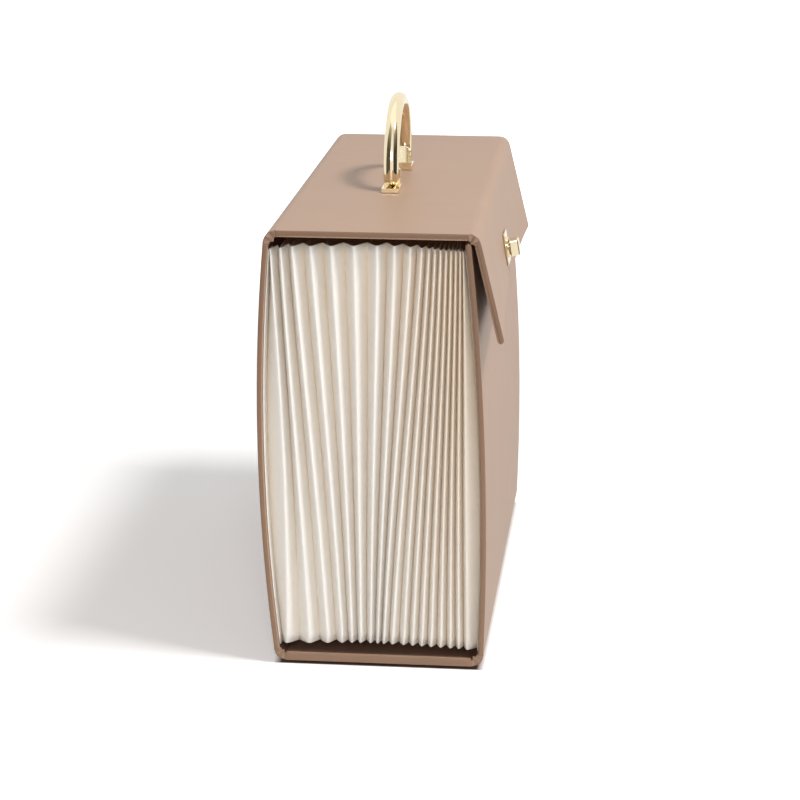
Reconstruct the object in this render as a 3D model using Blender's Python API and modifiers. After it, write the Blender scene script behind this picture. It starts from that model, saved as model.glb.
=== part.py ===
# Expanding file folder: a covered board case with a pleated paper block, an arched handle and a twist lock.
# +X is the front, where the flap hangs, +Z is up and Y runs along the length. All sizes are in metres.

import math

import bmesh
import bpy
from mathutils import Matrix, Vector

# Fits
fit_gap = 0.0003
cut_overrun = 0.0020

# Case
case_length = 0.3300
base_width = 0.1242
case_height = 0.2592
board_thickness = 0.0032
board_bevel = 0.0012
cover_thickness = 0.0010
lining_thickness = 0.0005
lining_inset = 0.0015
strip_reach = 0.0125

# Folds and boards
base_fold_radius = 0.0075
back_lean = 0.0037
back_bow = 0.0063
lid_corner_run = 0.0080
lid_corner_drop = 0.0083
lid_setback = 0.0068
front_fold_run = 0.0065
fold_skew = 0.0022
flap_length = 0.0653
flap_angle = math.radians(13.66)
flap_dip = 0.0047
front_top_drop = 0.0052
front_lean = 0.0091
front_bow = 0.0044
front_top_skew = 0.0034
front_top_dip = 0.0020

# Pivots of the case, measured in from the outer faces that they sit behind
lid_pivot_inset = 0.0005
flap_pivot_drop = 0.0028
flap_pivot_inset = 0.0011
front_pivot_inset = 0.0021
front_pivot_height = 0.0025

# Paper block
paper_thickness = 0.0004
divider_thickness = 0.0005
pleat_end_gap = 0.0020
pleat_depth = 0.0110
pleat_flat = 0.0008
pleat_droop = 0.0010
gusset_foot = 0.0094
gusset_foot_crown = 0.0026
gusset_top_drop = 0.0112
gusset_top_crown = 0.0036
floor_valley = 0.0085
floor_ridge = 0.0130
divider_top_drop = 0.0122
share_foot_z = 0.0390
share_top_drop = 0.0092

# Where each outward pleat stands between the back and the front, at the foot, half way up and at the top
pleat_shares = (
    (0.0000, 0.0000, 0.0000),
    (0.0541, 0.0784, 0.0160),
    (0.1530, 0.1352, 0.0576),
    (0.2420, 0.2073, 0.1169),
    (0.3159, 0.2865, 0.2111),
    (0.3700, 0.3633, 0.3171),
    (0.4190, 0.4382, 0.4320),
    (0.4730, 0.5162, 0.5523),
    (0.5129, 0.5773, 0.6412),
    (0.5470, 0.6298, 0.7247),
    (0.5911, 0.6781, 0.7840),
    (0.6451, 0.7205, 0.8217),
    (0.6891, 0.7590, 0.8520),
    (0.7332, 0.7929, 0.8790),
    (0.7772, 0.8266, 0.9010),
    (0.8213, 0.8575, 0.9220),
    (0.8653, 0.8865, 0.9430),
    (0.9044, 0.9159, 0.9620),
    (0.9450, 0.9462, 0.9800),
    (1.0000, 1.0000, 1.0000),
)
end_fold_share = 0.0060

# Handle
handle_x = -0.0048
rod_radius = 0.0047
leg_y = 0.0405
handle_pivot_height = 0.0082
leg_straight = 0.0040
arch_rise = 0.0374
bracket_width = 0.0108
bracket_inner_y = 0.0300
bracket_outer_y = 0.0481
bracket_plate = 0.0026
bracket_bevel = 0.0004
ear_thickness = 0.0054
ear_foot_width = 0.0090
ear_shoulder_width = 0.0076
ear_crown_width = 0.0026
ear_shoulder = 0.0122
ear_crown = 0.0031
ear_tilt_start = 0.0050
ear_tilt_depth = 0.0024
pin_radius = 0.0015
pin_depth = 0.0026
backing_thickness = 0.0008
backing_margin = 0.0006
screw_radius = 0.0011
screw_head_radius = 0.0021
screw_head_height = 0.0009
screw_bite = 0.0014
screw_inner_y = 0.0345
screw_outer_y = 0.0440

# Twist lock, in its own frame: out of the flap, along the case and up the flap
lock_drop = 0.0434
lock_plate_width = 0.0190
lock_plate_height = 0.0197
lock_plate_thickness = 0.0010
lock_plate_bevel = 0.0004
prong_radius = 0.0008
prong_depth = 0.0016
prong_spread = 0.0070
spindle_radius = 0.0020
spindle_tip_radius = 0.0012
knob_neck_radius = 0.0029
knob_neck_length = 0.0012
knob_length = 0.0130
knob_height = 0.0084
knob_depth = 0.0056
knob_bevel = 0.0013
bar_thickness = 0.0006
bar_length = 0.0130
bar_width = 0.0030
hook_thickness = 0.0005
hook_gap = 0.0040
hook_reach = 0.0076
hook_post = 0.0008
hook_height = 0.0060
keeper_thickness = 0.0004
keeper_width = 0.0180
keeper_height = 0.0190
stud_radius = 0.0008
stud_spread_y = 0.0060
stud_spread_z = 0.0074
keeper_backing_thickness = 0.0006

# Curve and mesh fineness, and how much longer than the board's thickness a bevelled end edge is
rod_sides = 6
arch_steps = 28
turn_steps = 20
slope_step_share = 0.001
end_edge_share = 1.2
lid_pivot_share = 0.5
weld_distance = 0.00001

half_length = case_length / 2
base_half = base_width / 2
lid_reach = base_half - lid_setback
front_height = case_height - front_top_drop
gusset_top = case_height - gusset_top_drop
divider_top = case_height - divider_top_drop
share_top_z = case_height - share_top_drop
pleat_outer_y = half_length - pleat_end_gap
pleat_inner_y = pleat_outer_y - pleat_depth
fold_centre_x = base_half - base_fold_radius
back_top_x = -base_half - back_lean
back_top_z = case_height - lid_corner_drop
lid_start_x = back_top_x + lid_corner_run
inner_depth = board_thickness + fit_gap
lining_end_y = half_length - lining_inset
leaf_depth = inner_depth + lining_thickness + fit_gap + paper_thickness / 2
divider_foot = floor_ridge + paper_thickness / 2 + fit_gap
divider_half = pleat_inner_y - paper_thickness / 2 - fit_gap


# Scene set-up
def clear_scene():
    for item in list(bpy.data.objects):
        bpy.data.objects.remove(item, do_unlink=True)


def new_collection(name, parent):
    collection = bpy.data.collections.new(name)
    parent.children.link(collection)
    return collection


def new_material(name, colour, roughness, metallic):
    material = bpy.data.materials.new(name)
    material.use_nodes = True
    shader = material.node_tree.nodes["Principled BSDF"]
    shader.inputs["Base Color"].default_value = (*colour, 1)
    shader.inputs["Roughness"].default_value = roughness
    shader.inputs["Metallic"].default_value = metallic
    material.diffuse_color = (*colour, 1)
    return material


clear_scene()
parts = new_collection("expanding_file_folder", bpy.context.scene.collection)
cutters = new_collection("cutters", bpy.context.scene.collection)

cover = new_material("cover", (0.55, 0.40, 0.32), 0.55, 0)
lining = new_material("lining", (0.50, 0.36, 0.28), 0.7, 0)
paper = new_material("paper", (0.82, 0.76, 0.66), 0.8, 0)
card = new_material("card", (0.78, 0.72, 0.62), 0.85, 0)
gold = new_material("gold", (0.83, 0.66, 0.38), 0.22, 1)
steel = new_material("steel", (0.60, 0.60, 0.62), 0.35, 1)


# Outlines of the case's outer faces: each gives x and z at a place along it and at a y
def fold_x(y):
    return lid_reach - fold_skew * y / half_length


def base_outline(x, y):
    return x, 0


def back_outline(z, y):
    share = (z - base_fold_radius) / (back_top_z - base_fold_radius)
    return -base_half - back_lean * share - back_bow * 4 * share * (1 - share), z


def front_outline(z, y):
    share = (z - base_fold_radius) / (front_height - base_fold_radius)
    along = y / half_length
    bowed = front_bow * 4 * share * (1 - share)
    drawn_in = front_top_skew * (1 + along) / 2 + front_top_dip * (1 - along**2)
    return base_half - front_lean * share + bowed - drawn_in * max(share, 0) ** 4, z


def lid_outline(x, y):
    share = (x - lid_start_x) / (lid_reach - front_fold_run - lid_start_x)
    return x + (fold_x(y) - lid_reach) * share, case_height


def flap_outline(drop, y):
    dip = flap_dip * (1 - (y / half_length) ** 2) * drop / flap_length
    return fold_x(y) + drop * math.sin(flap_angle) - dip, case_height - drop * math.cos(flap_angle)


def base_back_fold(turn, y):
    angle = turn * math.pi / 2
    x = -fold_centre_x - base_fold_radius * math.sin(angle)
    return x, base_fold_radius * (1 - math.cos(angle))


def base_front_fold(turn, y):
    x, z = base_back_fold(turn, y)
    return -x, z


def back_lid_fold(turn, y):
    angle = turn * math.pi / 2
    x = lid_start_x - lid_corner_run * math.cos(angle)
    return x, back_top_z + lid_corner_drop * math.sin(angle)


def lid_flap_fold(turn, y):
    start_x = fold_x(y) - front_fold_run
    end_x, end_z = flap_outline(front_fold_run, y)
    rest = 1 - turn
    x = rest**2 * start_x + 2 * rest * turn * fold_x(y) + turn**2 * end_x
    return x, (rest**2 + 2 * rest * turn) * case_height + turn**2 * end_z


def joined(first, first_ends, fold, second, second_ends):
    def outline(place, y):
        if place < 1:
            return first(first_ends[0] + place * (first_ends[1] - first_ends[0]), y)
        if place < 2:
            return fold(place - 1, y)
        return second(second_ends[0] + (place - 2) * (second_ends[1] - second_ends[0]), y)

    return outline


def inside(outline, place, step, y, depth, side):
    x0, z0 = outline(place - step, y)
    x1, z1 = outline(place + step, y)
    x, z = outline(place, y)
    run = math.hypot(x1 - x0, z1 - z0)
    return x - side * depth * (z1 - z0) / run, z + side * depth * (x1 - x0) / run


# Objects
def link_mesh(name, mesh, material, pivot, smooth, collection=parts):
    mesh.transform(Matrix.Translation(-Vector(pivot)))
    mesh.materials.clear()
    mesh.materials.append(material)
    for face in mesh.polygons:
        face.use_smooth = smooth
    item = bpy.data.objects.new(name, mesh)
    item.location = pivot
    collection.objects.link(item)
    bpy.context.view_layer.update()
    return item


def applied(item):
    bpy.context.view_layer.update()
    depsgraph = bpy.context.evaluated_depsgraph_get()
    mesh = bpy.data.meshes.new_from_object(item.evaluated_get(depsgraph))
    item.modifiers.clear()
    item.data = mesh
    return mesh


def solidify(item, thickness, offset):
    modifier = item.modifiers.new("thickness", "SOLIDIFY")
    modifier.thickness = thickness
    modifier.offset = offset
    modifier.use_even_offset = True
    return modifier


def bevel(item, width, segments, limit):
    modifier = item.modifiers.new("bevel", "BEVEL")
    modifier.width = width
    modifier.segments = segments
    modifier.limit_method = limit
    modifier.harden_normals = False
    return modifier


def boolean(item, operation, other):
    modifier = item.modifiers.new(operation.lower(), "BOOLEAN")
    modifier.operation = operation
    modifier.solver = "EXACT"
    modifier.object = other
    return modifier


def grid_mesh(name, columns, rows, place_point, flip):
    mesh = bpy.data.meshes.new(name)
    shape = bmesh.new()
    bmesh.ops.create_grid(shape, x_segments=columns, y_segments=rows, size=1)
    for vert in shape.verts:
        vert.co = place_point((vert.co.x + 1) / 2, (vert.co.y + 1) / 2)
    if flip:
        bmesh.ops.reverse_faces(shape, faces=shape.faces)
    shape.to_mesh(mesh)
    shape.free()
    return mesh


def weight_edges(mesh, chosen):
    shape = bmesh.new()
    shape.from_mesh(mesh)
    weights = shape.edges.layers.float.new("bevel_weight_edge")
    for edge in shape.edges:
        if len(edge.link_faces) == 2 and edge.calc_face_angle() > math.pi / 4:
            ends = [vert.co for vert in edge.verts]
            edge[weights] = 1 if chosen(ends[0], ends[1]) else 0
    shape.to_mesh(mesh)
    shape.free()


def sheet(name, outline, ends, y_ends, steps, depth, thickness, side, material, pivot=(0, 0, 0)):
    slope_step = (ends[1] - ends[0]) * slope_step_share

    def place_point(across, along):
        y = y_ends[0] + along * (y_ends[1] - y_ends[0])
        place = ends[0] + across * (ends[1] - ends[0])
        x, z = inside(outline, place, slope_step, y, depth, side)
        return x, y, z

    mesh = grid_mesh(name, steps[0], steps[1], place_point, side > 0)
    item = link_mesh(name, mesh, material, pivot, False)
    solidify(item, thickness, -1)
    return item


def board(name, outline, ends, steps, side, material, free_end=None, pivot=(0, 0, 0)):
    item = sheet(
        name, outline, ends, (-half_length, half_length), steps, 0, board_thickness, side, material, pivot
    )
    mesh = applied(item)
    edge_y = half_length - board_bevel / 2
    free_z = None
    if free_end is not None:
        free_z = outline(free_end, 0)[1]

    def chosen(start, end):
        at_end = min(abs(start.y), abs(end.y)) > edge_y
        if at_end and (start - end).length > board_thickness * end_edge_share:
            return True
        if free_z is None:
            return False
        near_free = max(abs(start.z + pivot[2] - free_z), abs(end.z + pivot[2] - free_z)) < board_thickness
        return near_free and abs(start.y - end.y) > board_thickness

    weight_edges(mesh, chosen)
    bevel(item, board_bevel, 2, "WEIGHT")
    return item


# Pivots
lid_pivot_x, lid_pivot_z = inside(back_lid_fold, lid_pivot_share, slope_step_share, 0, lid_pivot_inset, -1)
lid_pivot = (lid_pivot_x, 0, lid_pivot_z)
flap_pivot = (lid_reach - flap_pivot_inset, 0, case_height - flap_pivot_drop)
front_pivot = (base_half - front_pivot_inset, 0, front_pivot_height)
handle_pivot = (handle_x, 0, case_height + handle_pivot_height)


# Case boards
fold_gap_turn = fit_gap / base_fold_radius
full_y = (-half_length, half_length)

base_board = board("base_board", base_outline, (-fold_centre_x, fold_centre_x), (2, 2), 1, cover)
back_board = board("back_board", back_outline, (base_fold_radius, back_top_z), (16, 2), -1, cover)
lid_end = lid_reach - front_fold_run
lid_board = board("lid_board", lid_outline, (lid_start_x, lid_end), (2, 2), -1, cover, None, lid_pivot)
flap_board = board(
    "flap_board", flap_outline, (front_fold_run, flap_length), (2, 12), -1, cover, flap_length, flap_pivot
)
front_board = board(
    "front_board", front_outline, (base_fold_radius, front_height), (16, 8), 1, cover, front_height, front_pivot
)


# Cover strips outside the folds, between the boards' ends
def fold_strip(name, outline, rows, side, pivot=(0, 0, 0)):
    ends = (fold_gap_turn, 1 - fold_gap_turn)
    return sheet(name, outline, ends, full_y, (6, rows), 0, cover_thickness, side, cover, pivot)


fold_strip("base_back_cover_strip", base_back_fold, 1, -1)
fold_strip("back_lid_cover_strip", back_lid_fold, 1, -1)
fold_strip("lid_flap_cover_strip", lid_flap_fold, 8, -1, lid_pivot)
fold_strip("base_front_cover_strip", base_front_fold, 1, 1)


# Lining strips inside the folds, lapped onto both boards
lining_y = (-lining_end_y, lining_end_y)


def inner_strip(name, first, first_ends, fold, second, second_ends, rows, side, pivot=(0, 0, 0)):
    outline = joined(first, first_ends, fold, second, second_ends)
    return sheet(name, outline, (0, 3), lining_y, (15, rows), inner_depth, lining_thickness, side, lining, pivot)


base_lap = (fold_centre_x - strip_reach, fold_centre_x)
wall_lap = (base_fold_radius, base_fold_radius + strip_reach)
lid_back_lap = (lid_start_x, lid_start_x + strip_reach)
lid_front_lap = (lid_end - strip_reach, lid_end)
back_top_lap = (back_top_z - strip_reach, back_top_z)
flap_lap = (front_fold_run, front_fold_run + strip_reach)
mirrored_lap = (-base_lap[0], -base_lap[1])
inner_strip("base_back_lining_strip", base_outline, mirrored_lap, base_back_fold, back_outline, wall_lap, 1, -1)
inner_strip("back_lid_lining_strip", back_outline, back_top_lap, back_lid_fold, lid_outline, lid_back_lap, 1, -1)
inner_strip(
    "lid_flap_lining_strip", lid_outline, lid_front_lap, lid_flap_fold, flap_outline, flap_lap, 8, -1, lid_pivot
)
inner_strip("base_front_lining_strip", base_outline, base_lap, base_front_fold, front_outline, wall_lap, 1, 1)


# Lining sheets between the strips
def lining_sheet(name, outline, ends, steps, side, pivot=(0, 0, 0)):
    trimmed = (ends[0] + fit_gap, ends[1] - fit_gap)
    return sheet(name, outline, trimmed, lining_y, steps, inner_depth, lining_thickness, side, lining, pivot)


lining_sheet("base_lining", base_outline, (-base_lap[0], base_lap[0]), (1, 1), 1)
lining_sheet("back_lining", back_outline, (wall_lap[1], back_top_lap[0]), (14, 1), -1)
front_lining_ends = (wall_lap[1], front_height - lining_inset)
lining_sheet("front_lining", front_outline, front_lining_ends, (14, 8), 1, front_pivot)
lid_lining = lining_sheet("lid_lining", lid_outline, (lid_back_lap[1], lid_front_lap[0]), (1, 1), -1, lid_pivot)
flap_lining_ends = (flap_lap[1], flap_length - lining_inset)
flap_lining = lining_sheet("flap_lining", flap_outline, flap_lining_ends, (2, 12), -1, flap_pivot)


# Paper block: every pleat stands at a share of the width between the back and the front
pleat_count = len(pleat_shares)
share_run = share_top_z - share_foot_z


def pleat_share(index, z):
    foot, middle, top = pleat_shares[index]
    up = (z - share_foot_z) / share_run
    return foot * (1 - up) * (1 - 2 * up) + middle * 4 * up * (1 - up) + top * up * (2 * up - 1)


def inner_fold_share(index, z):
    if index == 0:
        return end_fold_share
    if index == pleat_count - 2:
        return 1 - end_fold_share
    return (pleat_share(index, z) + pleat_share(index + 1, z)) / 2


def pleat_x(share, z, y):
    start = back_outline(z, y)[0] + leaf_depth
    end = front_outline(z, y)[0] - leaf_depth
    return start + share * (end - start)


# The path along a pleated strip: an index, whether the fold is an inner one, and the side of the fold's flat
def pleat_path():
    path = [(0, False, 1)]
    for index in range(pleat_count - 1):
        path += [(index, True, -1), (index, True, 1)]
        if index < pleat_count - 2:
            path += [(index + 1, False, -1), (index + 1, False, 1)]
    path.append((pleat_count - 1, False, -1))
    return path


path = pleat_path()


def path_share(step, z):
    index, inner, _ = step
    return inner_fold_share(index, z) if inner else pleat_share(index, z)


def flat_shift(step, position):
    if position in (0, len(path) - 1):
        return 0
    return step[2] * pleat_flat / 2


def gusset(name, side):
    def place_point(across, along):
        position = round(across * (len(path) - 1))
        step = path[position]
        inner = step[1]
        middle = path_share(step, (share_foot_z + share_top_z) / 2)
        crown = 4 * middle * (1 - middle)
        droop = pleat_droop if inner else 0
        foot = gusset_foot + gusset_foot_crown * crown - droop
        top = gusset_top + gusset_top_crown * crown - droop
        z = foot + along * (top - foot)
        y = side * (pleat_inner_y if inner else pleat_outer_y)
        x = pleat_x(path_share(step, z), z, y) + flat_shift(step, position)
        return x, y, z

    mesh = grid_mesh(name, len(path) - 1, 8, place_point, side > 0)
    item = link_mesh(name, mesh, paper, (0, 0, 0), False)
    solidify(item, paper_thickness, 0)
    return item


gusset("gusset_near", -1)
gusset("gusset_far", 1)


def pocket_floor():
    def place_point(across, along):
        position = round(across * (len(path) - 1))
        step = path[position]
        z = floor_ridge if step[1] else floor_valley
        x = pleat_x(path_share(step, z), z, 0) + flat_shift(step, position)
        return x, divider_half * (2 * along - 1), z

    mesh = grid_mesh("pocket_floor", len(path) - 1, 1, place_point, False)
    item = link_mesh("pocket_floor", mesh, card, (0, 0, 0), False)
    solidify(item, paper_thickness, 0)
    return item


pocket_floor()


def divider(index):
    name = f"divider_{index:02d}"

    def place_point(across, along):
        z = divider_foot + across * (divider_top - divider_foot)
        y = divider_half * (2 * along - 1)
        return pleat_x(inner_fold_share(index, z), z, y), y, z

    mesh = grid_mesh(name, 8, 2, place_point, False)
    pivot = (pleat_x(inner_fold_share(index, divider_foot), divider_foot, 0), 0, divider_foot)
    item = link_mesh(name, mesh, card, pivot, False)
    solidify(item, divider_thickness, 0)
    return item


for pocket in range(1, pleat_count - 2):
    divider(pocket)


# Solids from simple shapes
def box_mesh(name, size, centre):
    mesh = bpy.data.meshes.new(name)
    shape = bmesh.new()
    bmesh.ops.create_cube(shape, size=1)
    bmesh.ops.scale(shape, vec=size, verts=shape.verts)
    bmesh.ops.translate(shape, vec=centre, verts=shape.verts)
    shape.to_mesh(mesh)
    shape.free()
    return mesh


def rod_mesh(name, radius, start, end, sides=turn_steps):
    start = Vector(start)
    end = Vector(end)
    mesh = bpy.data.meshes.new(name)
    shape = bmesh.new()
    bmesh.ops.create_cone(
        shape, cap_ends=True, segments=sides, radius1=radius, radius2=radius, depth=(end - start).length
    )
    turn = (end - start).to_track_quat("Z", "Y").to_matrix().to_4x4()
    bmesh.ops.transform(shape, matrix=Matrix.Translation((start + end) / 2) @ turn, verts=shape.verts)
    shape.to_mesh(mesh)
    shape.free()
    return mesh


def face_outwards(mesh):
    shape = bmesh.new()
    shape.from_mesh(mesh)
    bmesh.ops.remove_doubles(shape, verts=shape.verts, dist=weld_distance)
    bmesh.ops.recalc_face_normals(shape, faces=shape.faces)
    shape.to_mesh(mesh)
    shape.free()


def merged(name, meshes):
    mesh = bpy.data.meshes.new(name)
    shape = bmesh.new()
    for piece in meshes:
        shape.from_mesh(piece)
    shape.to_mesh(mesh)
    shape.free()
    return mesh


def cutter(name, mesh, matrix=None):
    if matrix is not None:
        mesh.transform(matrix)
    item = link_mesh(name, mesh, steel, (0, 0, 0), False, cutters)
    item.hide_render = True
    item.display_type = "WIRE"
    return item


def turned_mesh(name, profile, matrix):
    mesh = bpy.data.meshes.new(name)
    shape = bmesh.new()
    verts = [shape.verts.new((radius, 0, height)) for radius, height in profile]
    for start, end in zip(verts, verts[1:]):
        shape.edges.new((start, end))
    shape.to_mesh(mesh)
    shape.free()
    item = bpy.data.objects.new(name, mesh)
    parts.objects.link(item)
    screw = item.modifiers.new("turned", "SCREW")
    screw.axis = "Z"
    screw.steps = turn_steps
    screw.render_steps = turn_steps
    screw.use_merge_vertices = True
    screw.merge_threshold = weld_distance
    solid = applied(item)
    bpy.data.objects.remove(item)
    face_outwards(solid)
    solid.transform(matrix)
    return solid


# Handle: bail, brackets, pins, backing plates and screws
def handle_bail():
    curve = bpy.data.curves.new("handle_bail", "CURVE")
    curve.dimensions = "3D"
    curve.bevel_depth = rod_radius
    curve.bevel_resolution = rod_sides
    curve.use_fill_caps = True
    points = []
    end_angles = (80, 60, 35, 0)
    for angle in end_angles:
        turn = math.radians(angle)
        points.append((-leg_y, -rod_radius * math.sin(turn), math.cos(turn)))
    for step in range(arch_steps + 1):
        turn = math.pi * step / arch_steps
        points.append((-leg_y * math.cos(turn), leg_straight + arch_rise * math.sin(turn), 1))
    for angle in reversed(end_angles):
        turn = math.radians(angle)
        points.append((leg_y, -rod_radius * math.sin(turn), math.cos(turn)))
    spline = curve.splines.new("POLY")
    spline.points.add(len(points) - 1)
    for point, (y, z, radius) in zip(spline.points, points):
        point.co = (0, y, z, 1)
        point.radius = radius
    item = bpy.data.objects.new("handle_bail_curve", curve)
    parts.objects.link(item)
    bpy.context.view_layer.update()
    mesh = bpy.data.meshes.new_from_object(item.evaluated_get(bpy.context.evaluated_depsgraph_get()))
    bpy.data.objects.remove(item)
    face_outwards(mesh)
    mesh.transform(Matrix.Translation(handle_pivot))
    return link_mesh("handle_bail", mesh, gold, handle_pivot, True)


bail = handle_bail()
ear_outer_y = bracket_inner_y + ear_thickness
plate_foot = case_height + fit_gap
plate_top = plate_foot + bracket_plate
lining_under = case_height - inner_depth - lining_thickness
backing_top = lining_under - fit_gap
backing_foot = backing_top - backing_thickness


# The bracket's foot plate with its ear, which narrows upwards and leans back above a crease on its inner face
def bracket_mesh(side):
    tilt_z = case_height + ear_tilt_start
    shoulder_z = case_height + ear_shoulder
    crown_z = shoulder_z + ear_crown
    tilt_share = (tilt_z - plate_top) / (shoulder_z - plate_top)
    tilt_width = ear_foot_width + (ear_shoulder_width - ear_foot_width) * tilt_share
    lean = ear_tilt_depth / (crown_z - tilt_z)
    mesh = bpy.data.meshes.new("bracket")
    shape = bmesh.new()

    def pair(width, y, z):
        return [shape.verts.new((handle_x + sign * width / 2, side * y, z)) for sign in (1, -1)]

    under = pair(bracket_width, bracket_inner_y, plate_foot)
    under_end = pair(bracket_width, bracket_outer_y, plate_foot)
    over = pair(bracket_width, bracket_inner_y, plate_top)
    over_end = pair(bracket_width, bracket_outer_y, plate_top)
    foot = pair(ear_foot_width, bracket_inner_y, plate_top)
    crease = pair(tilt_width, bracket_inner_y, tilt_z)
    shoulder = pair(ear_shoulder_width, bracket_inner_y + lean * (shoulder_z - tilt_z), shoulder_z)
    crown = pair(ear_crown_width, bracket_inner_y + ear_tilt_depth, crown_z)
    foot_back = pair(ear_foot_width, ear_outer_y, plate_top)
    shoulder_back = pair(ear_shoulder_width, ear_outer_y, shoulder_z)
    crown_back = pair(ear_crown_width, ear_outer_y, crown_z)

    def band(*rows):
        shape.faces.new([row[0] for row in rows] + [row[1] for row in reversed(rows)])

    band(under, over, foot, crease)
    band(crease, shoulder, crown)
    band(crown, crown_back)
    band(foot_back, shoulder_back, crown_back)
    band(under, under_end)
    band(under_end, over_end)
    band(over_end, over, foot, foot_back)
    for hand in (0, 1):
        shape.faces.new([row[hand] for row in (under, over, over_end, under_end)])
        shape.faces.new([row[hand] for row in (foot, crease, shoulder, shoulder_back, foot_back)])
        shape.faces.new([row[hand] for row in (shoulder, crown, crown_back, shoulder_back)])
    shape.to_mesh(mesh)
    shape.free()
    face_outwards(mesh)
    return mesh


def handle_end(label, side):
    plate_mid_y = side * (bracket_inner_y + bracket_outer_y) / 2
    bracket = link_mesh(f"handle_bracket_{label}", bracket_mesh(side), gold, handle_pivot, False)
    bevel(bracket, bracket_bevel, 2, "ANGLE")

    pin_z = handle_pivot[2]
    pin_start = side * (ear_outer_y - pin_depth)
    pin_end = side * (leg_y - rod_radius + pin_depth)
    link_mesh(
        f"handle_pin_{label}",
        rod_mesh("pin", pin_radius, (handle_x, pin_start, pin_z), (handle_x, pin_end, pin_z)),
        steel,
        handle_pivot,
        True,
    )
    hole = rod_mesh(
        "pin_hole",
        pin_radius + fit_gap,
        (handle_x, pin_start - side * fit_gap, pin_z),
        (handle_x, pin_end + side * fit_gap, pin_z),
    )
    pin_hole = cutter(f"pin_hole_{label}", hole)
    boolean(bracket, "DIFFERENCE", pin_hole)
    boolean(bail, "DIFFERENCE", pin_hole)

    backing_size = (bracket_width, bracket_outer_y - bracket_inner_y + 2 * backing_margin, backing_thickness)
    backing_mesh = box_mesh("backing", backing_size, (handle_x, plate_mid_y, backing_foot + backing_thickness / 2))
    backing = link_mesh(f"handle_backing_{label}", backing_mesh, steel, lid_pivot, False)

    head_foot = backing_foot - fit_gap - screw_head_height
    tip = plate_foot + screw_bite
    profile = (
        (0, 0),
        (screw_head_radius, 0),
        (screw_head_radius, screw_head_height),
        (screw_radius, screw_head_height),
        (screw_radius, tip - head_foot),
        (0, tip - head_foot),
    )
    holes = []
    for place, screw_y in (("inner", screw_inner_y), ("outer", screw_outer_y)):
        y = side * screw_y
        matrix = Matrix.Translation((handle_x, y, head_foot))
        screw_name = f"handle_screw_{label}_{place}"
        link_mesh(screw_name, turned_mesh(screw_name, profile, matrix), steel, lid_pivot, True)
        top = tip + fit_gap
        bottom = backing_foot - cut_overrun
        holes.append(rod_mesh("hole", screw_radius + fit_gap, (handle_x, y, bottom), (handle_x, y, top)))
    screw_holes = cutter(f"screw_holes_{label}", merged(f"screw_holes_{label}", holes))
    for item in (bracket, backing, lid_lining, lid_board):
        boolean(item, "DIFFERENCE", screw_holes)


handle_end("near", -1)
handle_end("far", 1)


# Twist lock: its frame stands on the flap's outer face, x out of the flap, y along the case, z up the flap
lock_x, lock_z = flap_outline(lock_drop, 0)
step_x, step_z = flap_outline(lock_drop + front_fold_run, 0)
lock_lean = math.atan2(step_x - lock_x, lock_z - step_z)
lock_pivot = (lock_x, 0, lock_z)
lock_frame = Matrix.Translation(lock_pivot) @ Matrix.Rotation(-lock_lean, 4, "Y")


def lock_piece(name, mesh, material, pivot, smooth=False):
    mesh.transform(lock_frame)
    return link_mesh(name, mesh, material, pivot, smooth)


plate_face = fit_gap + lock_plate_thickness
lock_plate = lock_piece(
    "lock_plate",
    box_mesh(
        "lock_plate",
        (lock_plate_thickness, lock_plate_width, lock_plate_height),
        (fit_gap + lock_plate_thickness / 2, 0, 0),
    ),
    gold,
    flap_pivot,
)
bevel(lock_plate, lock_plate_bevel, 2, "ANGLE")
prongs = []
prong_holes = []
for sign in (-1, 1):
    z = sign * prong_spread
    prongs.append(rod_mesh("prong", prong_radius, (-prong_depth, 0, z), (plate_face - lock_plate_thickness / 2, 0, z)))
    prong_holes.append(
        rod_mesh("prong_hole", prong_radius + fit_gap, (-prong_depth - fit_gap, 0, z), (cut_overrun, 0, z))
    )
boolean(lock_plate, "UNION", cutter("lock_prongs", merged("lock_prongs", prongs), lock_frame))
boolean(flap_board, "DIFFERENCE", cutter("prong_holes", merged("prong_holes", prong_holes), lock_frame))

bar_top = -(inner_depth + lining_thickness + fit_gap + hook_thickness + fit_gap)
bar_bottom = bar_top - bar_thickness
spindle_hole = cutter(
    "spindle_hole",
    rod_mesh("spindle_hole", spindle_radius + fit_gap, (bar_top, 0, 0), (plate_face + cut_overrun, 0, 0)),
    lock_frame,
)
for item in (lock_plate, flap_board, flap_lining):
    boolean(item, "DIFFERENCE", spindle_hole)

knob_foot = plate_face + fit_gap + knob_neck_length
knob = lock_piece(
    "lock_knob",
    box_mesh("lock_knob", (knob_depth, knob_length, knob_height), (knob_foot + knob_depth / 2, 0, 0)),
    gold,
    lock_pivot,
)
bevel(knob, knob_bevel, 3, "ANGLE")
shaft_profile = (
    (0, bar_bottom),
    (spindle_tip_radius, bar_bottom),
    (spindle_tip_radius, bar_top + fit_gap),
    (spindle_radius, bar_top + fit_gap),
    (spindle_radius, plate_face + fit_gap),
    (knob_neck_radius, plate_face + fit_gap),
    (knob_neck_radius, knob_foot + knob_depth / 2),
    (0, knob_foot + knob_depth / 2),
)
along_x = Matrix.Rotation(math.pi / 2, 4, "Y")
shaft = turned_mesh("knob_shaft", shaft_profile, lock_frame @ along_x)
boolean(knob, "UNION", cutter("knob_shaft", shaft))

lock_bar = lock_piece(
    "lock_bar",
    box_mesh("lock_bar", (bar_thickness, bar_width, bar_length), (bar_top - bar_thickness / 2, 0, 0)),
    steel,
    lock_pivot,
)
tip_hole = rod_mesh("tip_hole", spindle_tip_radius + fit_gap, (bar_bottom - cut_overrun, 0, 0), (0, 0, 0))
boolean(lock_bar, "DIFFERENCE", cutter("tip_hole", tip_hole, lock_frame))


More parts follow.
